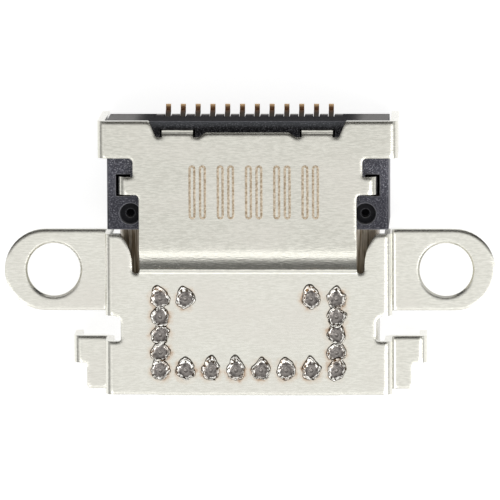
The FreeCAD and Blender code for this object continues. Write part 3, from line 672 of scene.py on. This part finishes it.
# The front half of the body is painted darker: painted shade
front_painted_shade = add_math(tree, "MULTIPLY", add_ramp(tree, axes["Y"], 7.3 * mm, 6.4 * mm), 0.5)
speckled = add_mix(tree, front_painted_shade, speckled, (0.008, 0.008, 0.013))
shaded = add_mix(tree, sunk_painted_shade, speckled, (0.006, 0.006, 0.008))
# Along the rear strip behind the cover plate the body is darkened by a painted shadow, lightening with pale specks
# towards the rear edge
rear_strip_shadow = add_ramp(tree, axes["Y"], 8.60 * mm, 8.90 * mm)
strip_light = add_ramp(tree, axes["Y"], 9.02 * mm, 9.20 * mm)
strip_tone = add_mix(tree, strip_light, (0.003, 0.003, 0.004), (0.036, 0.038, 0.043))
strip_tone = add_mix(tree, add_math(tree, "MULTIPLY", skin["Specks"], 0.35), strip_tone, (0.34, 0.34, 0.37))
shaded = add_mix(tree, rear_strip_shadow, shaded, strip_tone)
# Rear faces are painted near black in the middle, as painted shade, and paler at the ends, as painted sheen
at_end = add_ramp(tree, add_math(tree, "ABSOLUTE", axes["X"]), 3.3 * mm, 4.1 * mm)
rear_face = add_ramp(tree, facing["Y"], 0.4, 0.8)
rear_face_shade_and_sheen = add_mix(tree, at_end, (0.007, 0.0065, 0.009), (0.145, 0.138, 0.132))
shade_painted_base = add_mix(tree, rear_face, shaded, rear_face_shade_and_sheen)
matt = add_math(tree, "MULTIPLY", rear_face, add_math(tree, "SUBTRACT", 1.0, at_end))
shadowed = add_math(tree, "MULTIPLY", rear_strip_shadow, add_math(tree, "MULTIPLY_ADD", strip_light, -0.6, 0.85))
matt = add_math(tree, "MAXIMUM", add_math(tree, "MAXIMUM", matt, shadowed), add_math(tree, "MULTIPLY", sunk_painted_shade, 0.6))
rounded = add_rounding(tree, 0.10 * mm)
# Edges are painted a paler grey, less so where the surface is matt: painted highlight
at_edge = add_ramp(tree, add_vector_math(tree, "DOT_PRODUCT", rounded, flat).outputs["Value"], 0.97, 0.80)
edge_highlight = add_math(tree, "MULTIPLY", at_edge, add_math(tree, "MULTIPLY_ADD", matt, -0.6, 0.6))
tree.links.new(add_mix(tree, edge_highlight, shade_painted_base, (0.36, 0.36, 0.39)), shader.inputs["Base Color"])
polish = add_math(tree, "MULTIPLY_ADD", skin["Height"], 0.40, 0.20)
dulled = add_math(tree, "MULTIPLY", matt, add_math(tree, "SUBTRACT", 1.0, polish))
tree.links.new(add_math(tree, "ADD", polish, dulled), shader.inputs["Roughness"])
add_relief(tree, shader, skin["Height"], 0.014 * mm, rounded)
dress("housing", body_polymer)


# Contact carriers: two smoother blocks of the same polymer, moulded on the contact rows first.
# The upper one ends in the comb between the rear tails, whose foot is painted pale as painted reflection.
carrier_polymer, tree, shader, vector = new_material("carrier_polymer", 0.8)
shader.inputs["Specular IOR Level"].default_value = 0.08
skin = place_group(tree, fibre, vector, Fineness=1.5)
dark = add_mix(tree, skin["Clouds"], (0.009, 0.008, 0.011), (0.020, 0.019, 0.023))
axes = split_axes(tree, vector)
# The foot of the comb's rear face is painted pale: painted reflection
at_foot = add_ramp(tree, axes["Z"], -0.04 * mm, -0.16 * mm)
pale_foot_reflection = add_math(tree, "MULTIPLY", at_foot, add_ramp(tree, axes["Y"], 9.20 * mm, 9.25 * mm))
tree.links.new(add_mix(tree, pale_foot_reflection, dark, (0.46, 0.45, 0.44)), shader.inputs["Base Color"])
add_relief(tree, shader, skin["Height"], 0.005 * mm, add_rounding(tree, 0.02 * mm))
for node_name in ("upper_carrier", "lower_carrier"):
    dress(node_name, carrier_polymer)


# Ground plate and collars: bare stainless strip, stamped, in the middle and on the root of the tongue.
plate_steel, tree, shader, vector = new_material("plate_steel", 0.33, 1.0)
worked = place_group(tree, grain, vector, Fineness=1.2)
tone = add_mix(tree, worked["Streaks"], (0.55, 0.54, 0.52), (0.70, 0.69, 0.66))
tree.links.new(tone, shader.inputs["Base Color"])
add_relief(tree, shader, worked["Height"], 0.003 * mm, add_rounding(tree, 0.03 * mm))
for node_name in ("mid_plate", "upper_ground_collar", "lower_ground_collar"):
    dress(node_name, plate_steel)


# Contacts: twenty-four stamped copper alloy strips with a thin gold flash over nickel.
# The tails are a darker brown, with a painted highlight on each cut tip and a painted shadow, dull and dark, at each
# root.
contact_gold, tree, shader, vector = new_material("contact_gold", 0.28, 1.0)
wear = add_noise(tree, vector, 7000, 3.0, 0.6)
gold = add_mix(tree, add_ramp(tree, wear, 0.35, 0.70), (0.80, 0.52, 0.20), (0.56, 0.33, 0.13))
along = split_axes(tree, vector)["Y"]
# Tail colour: painted shadow at the roots, darker brown along the tails, painted highlight at the tips
tail_shade_and_highlight = add_mix(tree, add_ramp(tree, along, 9.30 * mm, 9.52 * mm), (0.035, 0.026, 0.016), (0.17, 0.085, 0.042))
tail_shade_and_highlight = add_mix(tree, add_ramp(tree, along, 9.50 * mm, 9.60 * mm), tail_shade_and_highlight, (0.60, 0.40, 0.22))
on_tail = add_ramp(tree, along, 9.10 * mm, 9.22 * mm)
tree.links.new(add_mix(tree, on_tail, gold, tail_shade_and_highlight), shader.inputs["Base Color"])
# The roots are also made dull and less metallic, as part of the painted shadow
shadowed_root = add_math(tree, "MULTIPLY", on_tail, add_ramp(tree, along, 9.46 * mm, 9.36 * mm))
tree.links.new(add_math(tree, "MULTIPLY_ADD", shadowed_root, -0.9, 1.0), shader.inputs["Metallic"])
gloss = add_math(tree, "MULTIPLY_ADD", wear, 0.25, 0.15)
tree.links.new(add_math(tree, "MULTIPLY_ADD", shadowed_root, 0.5, gloss), shader.inputs["Roughness"])
add_relief(tree, shader, wear, 0.003 * mm, add_rounding(tree, 0.025 * mm))
for row in ("upper", "lower"):
    for number in range(1, 13):
        dress("%s_contact_%02d" % (row, number), contact_gold)
